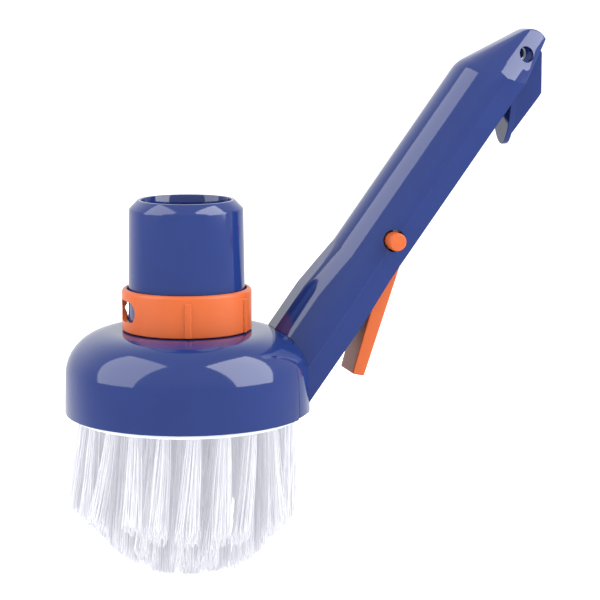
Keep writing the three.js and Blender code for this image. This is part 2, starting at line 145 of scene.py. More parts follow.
def apply_on(piece, modifier):
    bpy.ops.object.select_all(action="DESELECT")
    piece.select_set(True)
    bpy.context.view_layer.objects.active = piece
    bpy.ops.object.modifier_apply(modifier=modifier.name)


def work(piece, tool, how="DIFFERENCE"):
    """Cuts, joins or trims a piece with a tool, which is used up."""
    step = piece.modifiers.new("work", "BOOLEAN")
    step.operation = how
    step.solver = "EXACT"
    step.object = tool
    apply_on(piece, step)
    bpy.data.objects.remove(tool)
    return piece


def ease(piece, width, sharper_than=38, segments=2):
    """Rounds the edges that are sharper than an angle, as a mould leaves them."""
    rounding = piece.modifiers.new("ease", "BEVEL")
    rounding.width = width * mm
    rounding.segments = segments
    rounding.limit_method = "ANGLE"
    rounding.angle_limit = math.radians(sharper_than)
    rounding.use_clamp_overlap = False
    apply_on(piece, rounding)
    return piece


def polish(piece, angle=30, weighted=True):
    """Shades a finished shape smooth up to an angle, with flat faces kept flat."""
    bpy.ops.object.select_all(action="DESELECT")
    piece.select_set(True)
    bpy.context.view_layer.objects.active = piece
    bpy.ops.object.shade_smooth_by_angle(angle=math.radians(angle))
    if weighted:
        even = piece.modifiers.new("even", "WEIGHTED_NORMAL")
        even.keep_sharp = True
        apply_on(piece, even)
    return piece


def wire(tree, source, target):
    tree.links.new(source, target)


def moulded(name, base, shade, roughness, grain=0.012, specular=0.5):
    """A moulded plastic: slightly uneven pigment, flow marks in the gloss, fine haze and scuffs."""
    material = bpy.data.materials.new(name)
    material.use_nodes = True
    tree = material.node_tree
    surface = tree.nodes["Principled BSDF"]
    surface.inputs["IOR"].default_value = 1.5
    surface.inputs["Specular IOR Level"].default_value = specular
    place = tree.nodes.new("ShaderNodeTexCoord")

    pigment = tree.nodes.new("ShaderNodeTexNoise")
    pigment.inputs["Scale"].default_value = 28
    pigment.inputs["Detail"].default_value = 4
    wire(tree, place.outputs["Object"], pigment.inputs["Vector"])
    blend = tree.nodes.new("ShaderNodeValToRGB")
    blend.color_ramp.elements[0].position = 0.3
    blend.color_ramp.elements[0].color = (*shade, 1)
    blend.color_ramp.elements[1].position = 0.7
    blend.color_ramp.elements[1].color = (*base, 1)
    wire(tree, pigment.outputs["Fac"], blend.inputs["Fac"])
    wire(tree, blend.outputs["Color"], surface.inputs["Base Color"])

    flow = tree.nodes.new("ShaderNodeTexNoise")
    flow.inputs["Scale"].default_value = 60
    flow.inputs["Detail"].default_value = 6
    flow.inputs["Distortion"].default_value = 0.8
    wire(tree, place.outputs["Object"], flow.inputs["Vector"])
    gloss = tree.nodes.new("ShaderNodeMapRange")
    gloss.inputs["To Min"].default_value = roughness * 0.8
    gloss.inputs["To Max"].default_value = roughness * 1.3
    wire(tree, flow.outputs["Fac"], gloss.inputs["Value"])

    scuff_place = tree.nodes.new("ShaderNodeMapping")
    scuff_place.inputs["Rotation"].default_value = (0.4, 0.9, 0.3)
    scuff_place.inputs["Scale"].default_value = (2600, 130, 300)
    wire(tree, place.outputs["Object"], scuff_place.inputs["Vector"])
    scuffs = tree.nodes.new("ShaderNodeTexNoise")
    scuffs.inputs["Scale"].default_value = 1
    scuffs.inputs["Detail"].default_value = 2
    wire(tree, scuff_place.outputs["Vector"], scuffs.inputs["Vector"])
    thin = tree.nodes.new("ShaderNodeMapRange")
    thin.inputs["From Min"].default_value = 0.7
    thin.inputs["From Max"].default_value = 0.8
    thin.inputs["To Max"].default_value = 0.12
    wire(tree, scuffs.outputs["Fac"], thin.inputs["Value"])
    rough = tree.nodes.new("ShaderNodeMath")
    rough.operation = "ADD"
    wire(tree, gloss.outputs["Result"], rough.inputs[0])
    wire(tree, thin.outputs["Result"], rough.inputs[1])
    wire(tree, rough.outputs["Value"], surface.inputs["Roughness"])

    waves = tree.nodes.new("ShaderNodeTexNoise")
    waves.inputs["Scale"].default_value = 900
    waves.inputs["Detail"].default_value = 2
    wire(tree, place.outputs["Object"], waves.inputs["Vector"])
    swell = tree.nodes.new("ShaderNodeTexNoise")
    swell.inputs["Scale"].default_value = 75
    swell.inputs["Detail"].default_value = 1
    wire(tree, place.outputs["Object"], swell.inputs["Vector"])
    skin = tree.nodes.new("ShaderNodeBump")
    skin.inputs["Strength"].default_value = grain * 8
    skin.inputs["Distance"].default_value = 0.00003
    wire(tree, waves.outputs["Fac"], skin.inputs["Height"])
    sink = tree.nodes.new("ShaderNodeBump")
    sink.inputs["Strength"].default_value = grain * 8
    sink.inputs["Distance"].default_value = 0.0004
    wire(tree, swell.outputs["Fac"], sink.inputs["Height"])
    wire(tree, skin.outputs["Normal"], sink.inputs["Normal"])
    wire(tree, sink.outputs["Normal"], surface.inputs["Normal"])
    return material


def dress(piece, material, slot, body, *nodes):
    """Gives a piece its material and its body, and hides the CAD nodes that it stands for. The slot argument is
    not used.
    """
    piece.data.materials.clear()
    piece.data.materials.append(material)
    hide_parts(*nodes)
    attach(piece, body)


blue_gloss = moulded("blue_gloss", (0.010, 0.025, 0.126), (0.008, 0.021, 0.113), 0.07, specular=0.6)


def dome_outside(grow, steps=16):
    shoulder = bow(shoulder_inner, shoulder_start, skirt_radius - 0.3 - shoulder_inner + grow,
                   dome_height - shoulder_start + grow, 0, 90, steps)
    return [(skirt_radius + grow, max(-grow, 0.5)), *shoulder]


def dome_inside(steps=12):
    return dome_outside(-dome_wall, steps)


def screw_place(corner):
    """Where a plate screw stands, across the head."""
    return screw_circle * math.cos(math.radians(corner)), screw_circle * math.sin(math.radians(corner))


dome_profile = [
    (skirt_radius - 0.5, 0), (skirt_radius - 0.15, 0.15), *dome_outside(0), (port_hole_radius + 0.3, dome_height),
    (port_hole_radius, dome_height - 0.3), (port_hole_radius, dome_height - dome_wall), *dome_inside()[:0:-1],
    (skirt_radius - dome_wall, 0.4), (skirt_radius - dome_wall + 0.4, 0),
]
dome = turned("dome", dome_profile)
key_stock = twin(dome, "key_stock")
work(dome, slab("notch", (key_start - seam_gap, -key_half - seam_gap, -2),
                (skirt_radius + 3, key_half + seam_gap, key_height + seam_gap)))
for side in (-1, 1):
    near, far = sorted((side * (key_half + seam_gap), side * skirt_seam_y))
    work(dome, slab("skirt_step", (28, near - 0.5, -1), (44, far + 0.1, 0.7)))
    seam_y = side * skirt_seam_y
    work(dome, slab("skirt_seam", (30.9, seam_y - 0.16, -1), (44, seam_y + 0.16, 22)))
for corner in screw_corners:
    at = screw_place(corner)
    boss = turned("boss", [(screw_bore, 5.5), (3.1, 5.5), (3.3, 5.7), (3.3, 24), (screw_bore, 24)], at, 32)
    work(dome, boss, "UNION")
polish(dome, 32, weighted=False)
dress(dome, blue_gloss, "blue_plastic", "head_and_handle", "dome_housing")

# ---- Hose port ----
# The upright spout that the vacuum hose's cuff is pushed over: a tapered blue tube with a chamfered rim,
# trapped under the dome by its foot flange. A groove round its foot holds the air ring.
port_profile = [
    (15.8, 20.9), (16.2, 20.5), (21.4, 20.5), (21.8, 20.9), (21.8, 24.5), (21.4, 24.9), (19.3, 24.9),
    (19.3, 29.2), (18.7, 29.2), (18.7, 31.0), (19.6, 31.0),
    (19.03, 68.0), (18.98, 68.35), (18.85, 68.65), *bow(15.95, 70.9, 0.5, 0.5, 45, 90, 3),
    (15.35, 71.4), (15.1, 71.3), (15.0, 71.05), (15.05, 66), (15.4, 45),
]
port = turned("port", port_profile)


def stadium(name, middle, radius, half, height, z):
    """A cutter for an upright wall: an obround of that half length and height, lying across the wall."""
    turn = math.radians(middle)
    out = Vector((math.cos(turn), math.sin(turn), 0))
    across = Vector((-out.y, out.x, 0))
    end = height / 2
    outline = bow(half - end, 0, end, end, -90, 90, 10) + bow(end - half, 0, end, end, 90, 270, 10)
    start = head(0, 0, z) + out * (radius - 7) * mm
    return pulled(name, [start + across * a * mm + Vector((0, 0, b * mm)) for a, b in outline], out * 12 * mm)


slot_half = math.radians(19) * 21.7
work(port, stadium("air_window", 231, 21.7, slot_half, 7, 35))
polish(port, 32, weighted=False)
dress(port, blue_gloss, "blue_plastic", "head_and_handle", "hose_port")

# ---- Air ring ----
# The orange collar that turns round the port's foot and opens or shuts the air window to set the suction.
# One moulding with two rounded slots, four upright finger grips and a bead that snaps into the groove.
ring_wall = [(20.0, 28.4), (20.3, 28.1), (21.45, 28.1), (21.7, 28.35), *bow(20.5, 40.8, 1.2, 1.2, 0, 90, 6),
             (20.15, 42.0), (20.0, 41.8), (20.0, 30.7), (19.0, 30.7), (19.0, 29.5), (20.0, 29.5)]
ring = turned("air_ring", ring_wall)
for middle in (186, 145):
    work(ring, stadium("slot_cutter", middle, 24, slot_half, 7, 35))
for bearing in (259, 319, 19, 79):
    turn = math.radians(bearing)
    out = Vector((math.cos(turn), math.sin(turn), 0))
    across = Vector((-out.y, out.x, 0)) * mm
    foot = head(0, 0, 28.25)
    section = [(-0.95, 21.2), (-0.95, 22.0), (-0.6, 22.4), (0.6, 22.4), (0.95, 22.0), (0.95, 21.2)]
    grip = pulled("grip", [foot + across * a + out * b * mm for a, b in section], Vector((0, 0, 11.2 * mm)))
    work(ring, grip, "UNION")
ease(ring, 0.18, 50, 1)
polish(ring, 30, weighted=False)
orange_gloss = moulded("orange_gloss", (0.50, 0.100, 0.024), (0.44, 0.083, 0.018), 0.3, specular=0.3)
dress(ring, orange_gloss, "orange_plastic", "air_ring", "suction_ring")

# ---- Bristle plate ----
# The white disc that closes the head from below: satin polyethylene with a hole for every tuft, four arc
# windows that let the water in, and the suction mouth in the middle. Four screws hold it.
plate_low = -1.6
plate_profile = [
    (8.5, -1.2), (8.9, plate_low), (10.6, plate_low), (10.9, -1.3), (18.7, -1.3),
    (19.0, plate_low), (20.4, plate_low),
    (20.7, -1.3), (31.2, -1.3), (31.5, plate_low), (37.8, plate_low), (38.2, -1.2), (38.2, 5.2), (8.5, 5.2),
]
plate = turned("plate", plate_profile)
stems_each = 124
tuft_rings = {
    "outer": {"count": 22, "root": 34.0, "tip": 35.4, "spread": 3.5, "stems": stems_each},
    "middle": {"count": 14, "root": 24.5, "tip": 25.2, "spread": 3.9, "stems": stems_each},
    "inner": {"count": 8, "root": 14.0, "tip": 12.4, "spread": 3.6, "stems": stems_each},
}


def tuft_turn(node):
    """The compass direction of a tuft, from where its CAD node stands."""
    low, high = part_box(node)
    return math.atan2((low.y + high.y) / 2, (low.x + high.x) / 2 - head_axis_x)


drills = []
for ring_name, row in tuft_rings.items():
    for i in range(row["count"]):
        turn = tuft_turn(f"tuft_{ring_name}_{i + 1}")
        bpy.ops.object.select_all(action="DESELECT")
        bpy.ops.mesh.primitive_cylinder_add(
            vertices=14, radius=2.25 * mm, depth=8 * mm,
            location=head(row["root"] * math.cos(turn), row["root"] * math.sin(turn), -0.4))
        drills.append(bpy.context.object)
bpy.ops.object.select_all(action="DESELECT")
for drill in drills:
    drill.select_set(True)
bpy.context.view_layer.objects.active = drills[0]
bpy.ops.object.join()
work(plate, bpy.context.object)
for quarter in (0, 90, 180, 270):
    outline = bow(0, 0, 30.4, 30.4, quarter - 30, quarter + 30, 20)
    outline += bow(0, 0, 28.0, 28.0, quarter + 30, quarter - 30, 20)
    work(plate, pulled("window", [head(x, y, -4) for x, y in outline], Vector((0, 0, 12 * mm))))
for corner in screw_corners:
    at = screw_place(corner)
    work(plate, turned("screw_hole", [(0, -4), (screw_bore, -4), (screw_bore, 8), (0, 8)], at, 24))
polish(plate, 30, weighted=False)
white_satin = moulded("white_satin", (0.72, 0.76, 0.83), (0.66, 0.71, 0.79), 0.36, grain=0.02)
dress(plate, white_satin, "white_plastic", "head_and_handle", "bristle_plate")

# ---- Bristle tufts ----
# White nylon filaments, folded over and stapled into each hole, trimmed to a dome that is longest in the
# middle. Each tuft leaves its hole tight and flares to a ragged tip, and no two lean quite the same way.
stem_radius = 0.155
stem_cuts = 5
bpy.ops.object.select_all(action="DESELECT")
bpy.ops.mesh.primitive_cylinder_add(vertices=4, radius=stem_radius * mm, depth=1, location=(0, 0, -0.5))
stem = bpy.context.object
bpy.ops.object.mode_set(mode="EDIT")
bpy.ops.mesh.select_all(action="DESELECT")
bpy.ops.mesh.select_mode(type="EDGE")
bpy.ops.object.mode_set(mode="OBJECT")
for edge in stem.data.edges:
    a, b = (stem.data.vertices[i].co for i in edge.vertices)
    edge.select = abs(a.z - b.z) > 0.5
bpy.ops.object.mode_set(mode="EDIT")
bpy.ops.mesh.subdivide(number_cuts=stem_cuts)
bpy.ops.mesh.select_mode(type="VERT")
bpy.ops.object.mode_set(mode="OBJECT")
stem_points = np.array([v.co for v in stem.data.vertices])
stem_points[:, 2] = -(stem_points[:, 2] - stem_points[:, 2].max())
stem_faces = [list(f.vertices) for f in stem.data.polygons]
bpy.data.objects.remove(stem)
chance = np.random.default_rng(11)


trim_radii = [0, 10, 20, 25, 30, 36, 41]
trim_heights = [-55.1, -54.3, -51.8, -47.6, -41.8, -35.8, -30.5]
sweep = np.array([-2.1, 0.5])


def trim_height(r):
    """How low a filament reaches at a distance from the head's axis, in mm below the skirt."""
    return np.interp(r, trim_radii, trim_heights)


def bristle_tuft(name, turn, row):
    """One tuft: the stem copied from a tight root to a flared tip, each with its own bend."""
    root = row["root"] * np.array([math.cos(turn), math.sin(turn)])
    sideways = chance.normal(0, 1.5)
    outward = chance.normal(0.6, 0.9)
    out = np.array([math.cos(turn), math.sin(turn)])
    across = np.array([-out[1], out[0]])
    tip = row["tip"] * out + outward * out + sideways * across + sweep
    count = row["stems"]
    radius = np.sqrt(chance.uniform(0, 1, count))
    angle = chance.uniform(0, 2 * math.pi, count)
    spot = np.stack([radius * np.cos(angle), radius * np.sin(angle)], 1)
    starts = root + spot * 2.0
    ends = tip + spot * row["spread"] + chance.normal(0, 0.45, (count, 2))
    far = np.hypot(ends[:, 0], ends[:, 1])
    ends *= (np.minimum(far, skirt_radius - 0.6) / far)[:, None]
    low = trim_height(np.hypot(ends[:, 0], ends[:, 1])) + np.abs(chance.normal(0, 0.8, count))
    curl = chance.normal(0, 0.35, (count, 2))
    flare = chance.uniform(1.1, 1.5, count)
    points, faces = [], []
    for n in range(count):
        u = stem_points[:, 2]
        lean = np.power(u, flare[n])[:, None]
        sway = np.sin(u * math.pi)[:, None] * curl[n]
        flat = starts[n] + (ends[n] - starts[n]) * lean + sway + stem_points[:, :2] / mm
        height = 3.2 + (low[n] - 3.2) * u
        faces += [[i + n * len(u) for i in face] for face in stem_faces]
        points.append(np.column_stack([flat, height]))
    points = np.concatenate(points) * mm + np.array([head_axis_x, 0, skirt_edge_z])
    mesh = bpy.data.meshes.new(name)
    mesh.from_pydata(points.tolist(), [], faces)
    tuft = bpy.data.objects.new(name, mesh)
    bpy.context.collection.objects.link(tuft)
    return tuft


def nylon_material():
    """Milky nylon: a little light passes through each filament, and the gloss runs along it. A faint white
    emission on top is painted glow that lightens the filaments' shade.
    """
    material = bpy.data.materials.new("white_nylon")
    material.use_nodes = True
    tree = material.node_tree
    surface = tree.nodes["Principled BSDF"]
    surface.inputs["Roughness"].default_value = 0.45
    surface.inputs["IOR"].default_value = 1.53
    surface.inputs["Specular IOR Level"].default_value = 0.3
    # Painted glow: this lavender-white emission makes every filament glow a little and lifts the shade between
    # and inside the tufts. The bristles are not a lamp.
    surface.inputs["Emission Color"].default_value = (0.94, 0.94, 1, 1)
    surface.inputs["Emission Strength"].default_value = 0.3
    place = tree.nodes.new("ShaderNodeTexCoord")
    strands = tree.nodes.new("ShaderNodeMapping")
    strands.inputs["Scale"].default_value = (1500, 1500, 60)
    wire(tree, place.outputs["Object"], strands.inputs["Vector"])
    tone = tree.nodes.new("ShaderNodeTexNoise")
    tone.inputs["Scale"].default_value = 1
    tone.inputs["Detail"].default_value = 2
    wire(tree, strands.outputs["Vector"], tone.inputs["Vector"])
    colours = tree.nodes.new("ShaderNodeValToRGB")
    colours.color_ramp.elements[0].position = 0.3
    colours.color_ramp.elements[0].color = (0.60, 0.60, 0.635, 1)
    colours.color_ramp.elements[1].position = 0.62
    colours.color_ramp.elements[1].color = (0.69, 0.69, 0.71, 1)
    wire(tree, tone.outputs["Fac"], colours.inputs["Fac"])
    wire(tree, colours.outputs["Color"], surface.inputs["Base Color"])
    ridges = tree.nodes.new("ShaderNodeBump")
    ridges.inputs["Strength"].default_value = 0.2
    ridges.inputs["Distance"].default_value = 0.00005
    wire(tree, tone.outputs["Fac"], ridges.inputs["Height"])
    wire(tree, ridges.outputs["Normal"], surface.inputs["Normal"])
    through = tree.nodes.new("ShaderNodeBsdfTranslucent")
    wire(tree, colours.outputs["Color"], through.inputs["Color"])
    both = tree.nodes.new("ShaderNodeMixShader")
    both.inputs["Fac"].default_value = 0.4
    wire(tree, surface.outputs["BSDF"], both.inputs[1])
    wire(tree, through.outputs["BSDF"], both.inputs[2])
    wire(tree, both.outputs["Shader"], tree.nodes["Material Output"].inputs["Surface"])
    return material


white_nylon = nylon_material()
for ring_name, row in tuft_rings.items():
    for i in range(row["count"]):
        node = f"tuft_{ring_name}_{i + 1}"
        tuft = bristle_tuft(f"bristles_{ring_name}_{i + 1}", tuft_turn(node), row)
        polish(tuft, 60, weighted=False)
        dress(tuft, white_nylon, "bristle", "head_and_handle", node)

# ---- Screws ----
# Six stainless pan-head self-tapping screws with cross recesses, driven from below: four through the
# bristle plate into the dome's bosses, two through the lug at the handle's foot.


def metal(name, tint, roughness):
    """Bare steel with fine drawing marks."""
    material = bpy.data.materials.new(name)
    material.use_nodes = True
    tree = material.node_tree
    surface = tree.nodes["Principled BSDF"]
    surface.inputs["Metallic"].default_value = 1
    place = tree.nodes.new("ShaderNodeTexCoord")
    marks = tree.nodes.new("ShaderNodeTexNoise")
    marks.inputs["Scale"].default_value = 1800
    marks.inputs["Detail"].default_value = 3
    wire(tree, place.outputs["Object"], marks.inputs["Vector"])
    ramp = tree.nodes.new("ShaderNodeValToRGB")
    ramp.color_ramp.elements[0].color = (*(c * 0.8 for c in tint), 1)
    ramp.color_ramp.elements[1].color = (*tint, 1)
    wire(tree, marks.outputs["Fac"], ramp.inputs["Fac"])
    wire(tree, ramp.outputs["Color"], surface.inputs["Base Color"])
    gloss = tree.nodes.new("ShaderNodeMapRange")
    gloss.inputs["To Min"].default_value = roughness * 0.7
    gloss.inputs["To Max"].default_value = roughness * 1.3
    wire(tree, marks.outputs["Fac"], gloss.inputs["Value"])
    wire(tree, gloss.outputs["Result"], surface.inputs["Roughness"])
    return material


steel = metal("stainless_steel", (0.60, 0.61, 0.63), 0.26)


def pan_screw(name, node):
    """A pan head, a threaded shank and a cross recess, standing where its CAD node stands."""
    low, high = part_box(node)
    x = ((low.x + high.x) / 2 - head_axis_x) / mm
    y = (low.y + high.y) / 2 / mm
    bottom = (low.z - skirt_edge_z) / mm
    top = (high.z - skirt_edge_z) / mm
    head_curve = [(0, bottom), (1.4, bottom + 0.05), (2.1, bottom + 0.35),
                  (2.45, bottom + 0.9), (2.5, bottom + 1.55)]
    shank = [(1.0, bottom + 1.6)]
    z = bottom + 2.2
    while z < top - 1.6:
        shank += [(1.0, z), (1.25, z + 0.3), (1.0, z + 0.6)]
        z += 0.95
    body = turned(name, head_curve + shank + [(0.9, top - 0.9), (0, top)], (x, y), 24)
    for half_x, half_y in ((1.3, 0.28), (0.28, 1.3)):
        work(body, slab("recess", (x - half_x, y - half_y, bottom - 1), (x + half_x, y + half_y, bottom + 0.85)))
    polish(body, 35, weighted=False)
    dress(body, steel, "steel", "head_and_handle", node)


for i in range(4):
    pan_screw(f"screw_plate_{i + 1}", f"plate_screw_{i + 1}")
for i in range(2):
    pan_screw(f"screw_foot_{i + 1}", f"handle_screw_{i + 1}")

# ---- Handle ----
# The slanted channel that slides into a telescopic pole: one blue moulding, open along its underside, with
# a thick root that stops the pole, cross ribs, a wedge nose with a strap hole and a key foot in the skirt.
lean = math.radians(54)
foot_x = 28.8
channel_radius = 14.6
channel_wall = 2.2
nose_start = 132.4
tip_radius = 6.2
tip_half = 4.6


def hand(v, w, t):
    """A place by the handle's own measures: v below its axis, w across it and t along it."""
    return head(foot_x + t * math.cos(lean) + v * math.sin(lean), w, t * math.sin(lean) - v * math.cos(lean))


def channel(top, half, edge, edge_half, flat=0.0, seam=0.0, steps=28):
    """The channel's cross-section: a round top, flattened by flat, and flat walls that lean in below it.
    seam is how proud the parting line stands where the two meet."""
    start = math.degrees(math.acos(-1.6 / top))
    corner = math.degrees(math.acos(-(top - max(flat, 0.005)) / top))
    side = bow(0, 0, top, half, start, corner, steps)
    (v, w), pads = side[-1], 6
    pad = [(v, w - 2 * w * i / pads) for i in range(1, pads)]
    below, wide = side[0]
    wall = (edge_half - wide) / (edge - below)
    if seam:
        rise = [(0.3, 0.3 * wall), (0.1, seam), (-0.1, seam)]
    else:
        rise = [(0.3, 0.3 * wall + 0.02), (0.1, 0.1 * wall + 0.015), (-0.1, -0.02)]
    side = [(below + dv, wide + dw) for dv, dw in rise] + side[1:]
    return [(edge, edge_half), *side, *pad, *((v, -w) for v, w in reversed(side)), (edge, -edge_half)]


def along(section, t):
    return [hand(v, w, t) for v, w in section]


def wrap(name, places):
    """The convex skin round a set of places."""
    piece = trace(name, places, closed=False)
    bpy.ops.mesh.convex_hull(join_triangles=False)
    bpy.ops.mesh.select_all(action="SELECT")
    bpy.ops.mesh.dissolve_limited(angle_limit=math.radians(0.2))
    return close_up(piece)


def rod(name, radius, v, t, w0, w1, sides=48):
    """A round bar across the handle, from w0 to w1."""
    circle = bow(v, t, radius, radius, 0, 360 - 360 / sides, sides - 1)
    return pulled(name, [hand(a, w0, b) for a, b in circle], Vector((0, (w1 - w0) * mm, 0)))


tip_dx, tip_z = 119.7 - foot_x, 120.6
tip_v = tip_dx * math.sin(lean) - tip_z * math.cos(lean)
tip_t = tip_dx * math.cos(lean) + tip_z * math.sin(lean)


def tip_disc(radius, half, steps=40):
    rim = bow(tip_v, tip_t, radius, radius, 0, 360 - 360 / steps, steps - 1)
    return [hand(v, w, t) for v, t in rim for w in (-half, half)]


def stations(piece):
    """How far each vertex of a piece lies along the handle, in mm."""
    axis = (hand(0, 0, 1) - hand(0, 0, 0)) / mm
    return [(vertex.co - hand(0, 0, 0)).dot(axis) / mm for vertex in piece.data.vertices]


def lofted(name, sections, tip):
    """Bridges (section, t) pairs along the handle, and closes the last one over the nose's tip."""
    loops = []
    for section, t in sections:
        loops.append(trace("loop", along(section, t)))
        bpy.ops.object.mode_set(mode="OBJECT")
    nose = wrap("nose", along(*sections[-1]) + tip)
    place = stations(nose)
    for face in nose.data.polygons:
        face.select = all(abs(place[i] - sections[-1][1]) < 0.01 for i in face.vertices)
    bpy.ops.object.mode_set(mode="EDIT")
    bpy.ops.mesh.select_mode(type="FACE")
    bpy.ops.mesh.delete(type="ONLY_FACE")
    bpy.ops.mesh.select_mode(type="VERT")
    bpy.ops.object.mode_set(mode="OBJECT")
    bpy.ops.object.select_all(action="DESELECT")
    for loop in loops:
        loop.select_set(True)
    bpy.context.view_layer.objects.active = loops[0]
    bpy.ops.object.join()
    piece = bpy.context.object
    piece.name = name
    bpy.ops.object.mode_set(mode="EDIT")
    bpy.ops.mesh.select_all(action="SELECT")
    bpy.ops.mesh.bridge_edge_loops()
    bpy.ops.object.mode_set(mode="OBJECT")
    nose.select_set(True)
    bpy.ops.object.join()
    bpy.ops.object.mode_set(mode="EDIT")
    bpy.ops.mesh.select_all(action="SELECT")
    bpy.ops.mesh.remove_doubles(threshold=2e-6)
    bpy.ops.mesh.select_all(action="DESELECT")
    bpy.ops.mesh.select_non_manifold()
    bpy.ops.mesh.edge_face_add()
    return close_up(piece)


def tip_wrap(shrink, edge=0.5):
    """Places on the nose's round tip, with its rims eased."""
    radius, half = tip_radius - shrink, tip_half - shrink
    rim = bow(0, 0, edge, edge, 0, 90, 4)
    return [place for out, up in rim for place in tip_disc(radius - edge + out, half - edge + up)]


def brow(section, start, steps=7):
    """Places that round the channel's top over into the nose, and carry its walls on to the cheeks."""
    cheek = [(-4.7, 13.75, 136.2), (-3.2, 14.2, 136), (-1.6, 14.5, 135.7),
             (-0.1, 14.2, 136.1), (5.3, 13.3, 138)]
    places = [hand(v, side * w, t) for v, w, t in cheek for side in (-1, 1)]
    for i in range(1, steps + 1):
        turn = math.radians(27) * i / steps
        shrink = 1 - brow_radius * (1 - math.cos(turn)) / channel_radius
        t = start + brow_radius * math.sin(turn)
        places += [hand(v * shrink, w * shrink, t) for v, w in section]
    return places


def underside_cut():
    low = [(5.4, 138.3), (5.4, 160), (40, 160), (40, 138.3)]
    return pulled("underside_cut", [hand(v, -20, t) for v, t in low], Vector((0, 40 * mm, 0)))


seam_proud = 0.1
brow_radius, brow_start = 10, nose_start - 2.4
section = channel(channel_radius, channel_radius, 5.3, 13.3, seam=seam_proud)
smooth = channel(channel_radius, channel_radius, 5.3, 13.3)
inside = channel_radius - channel_wall
ramp_start, ramp_end, ramp_steps = 40, 59, 9
shapes = [(channel(16.6, 15.0, 6.2, 13.6, 0.8, seam_proud), -30)]
for i in range(ramp_steps + 1):
    share = i / ramp_steps
    pad_depth = 0.8 * (1 - share ** 3)
    ramp = channel(16.6 - 2 * share, 15.0 - 0.4 * share, 6.2 - 0.9 * share, 13.6 - 0.3 * share,
                   pad_depth, seam_proud)
    shapes.append((ramp, ramp_start + (ramp_end - ramp_start) * share))
shapes += [(section, brow_start - 0.5), (smooth, brow_start)]
handle = lofted("handle_moulding", shapes, brow(smooth, brow_start) + tip_wrap(0.04, 1.5))
bore = channel(inside, inside, 30, 13.3 - channel_wall)
bore_tip = tip_disc(tip_radius - 2, tip_half - 1.8) + [hand(30, w, tip_t) for w in (-2.8, 2.8)]
work(handle, lofted("hollow", [(bore, -60), (bore, nose_start)], bore_tip))
work(handle, underside_cut())

slim = channel(13.6, 13.6, 5.0, 12.3)
core = lofted("core", [(slim, 45), (slim, nose_start)], tip_wrap(1))
work(core, underside_cut())
for rib_x, rib_low in ((79.9, 45.4), (110.6, 87.4)):
    middle = (rib_x - foot_x) * math.tan(lean)
    rib = slab("rib", (rib_x, -14.6, middle - 16), (rib_x + 2, 14.6, middle + 40))
    work(rib, twin(core, "rib_core"), "INTERSECT")
    oval = bow(0, middle, 10.5, middle - rib_low, 180, 360, 28)
    lobe = pulled("rib_lobe", [head(rib_x + 0.03, y, z) for y, z in oval], Vector((1.94 * mm, 0, 0)))
    work(rib, ease(lobe, 0.3, 60, 2), "UNION")
    work(handle, rib, "UNION")
bpy.data.objects.remove(core)
web_side = [(111.6, 87.5), (124.1, 103.4), (125, 104.8), (125, 118.6),
            (121.7, 123.6), (117.7, 124.6), (111.6, 122.4)]
web = pulled("web", [head(x, -1, z) for x, z in web_side], Vector((0, 2 * mm, 0)))
work(handle, ease(web, 0.25, 60, 2), "UNION")

pivot_v, pivot_t = 1.2, 79.5
button_v, button_t = -1.7, 69.2
for w0, w1 in ((-13.2, -9.7), (9.7, 13.2)):
    work(handle, rod("pin_boss", 3.4, pivot_v, pivot_t, w0, w1), "UNION")
work(handle, rod("pin_bore", 1.8, pivot_v, pivot_t, -13.2, 13.2))
work(handle, rod("button_bore", 3.75, button_v, button_t, -20, 20))
work(handle, rod("strap_bore", 2.75, 1.2, 147.1, -20, 20))

clear = dome_outside(seam_gap)[1:]
head_clear = turned("head_clear", [(0, -0.3), (clear[0][0], -0.3), *clear, (0, clear[-1][1])])
work(head_clear, slab("key_room", (key_start, -key_half, -3), (skirt_radius + 20, key_half, key_height)))
work(handle, head_clear)
chamber = dome_outside(0.03 - dome_wall)[1:]
work(handle, turned("chamber", [(0, -1), (chamber[0][0], -1), *chamber, (0, chamber[-1][1])]))
work(handle, slab("ground_cut", (-60, -60, -60), (200, 60, 0.05)))
key_clear = 0.04
key_block = slab("key_block", (key_start + key_clear, key_clear - key_half, -1),
                 (skirt_radius + 3, key_half - key_clear, key_height - key_clear))
key = work(key_stock, key_block, "INTERSECT")
work(handle, key, "UNION")
tongue_out = [(r, z) for r, z in dome_outside(-dome_wall - 0.04) if z > 5.6]
tongue_in = [(r, z) for r, z in dome_outside(-dome_wall - 1.0) if z > 5.6]
tongue = turned("tongue", [(tongue_out[0][0], 5.6), *tongue_out[:12], *tongue_in[11::-1], (tongue_in[0][0], 5.6)])
work(tongue, slab("tongue_block", (24, -17.6, 5), (41, 17.6, 23)), "INTERSECT")
work(handle, tongue, "UNION")
lug = slab("lug", (23.5, -12, 17.2), (skirt_radius - dome_wall, 12, 19.5))
for y in (-8, 8):
    work(lug, turned("lug_hole", [(0, 10), (1.55, 10), (1.55, 30), (0, 30)], (27, y), 24))
work(handle, lug, "UNION")
polish(handle, 18, weighted=False)
dress(handle, blue_gloss, "blue_plastic", "head_and_handle", "handle")

# ---- Lock buttons and spring ----
# Two orange buttons that snap into the pole's side holes. Each is a short round stud on a flange inside the
# channel, and one steel coil spring between them pushes both outwards.


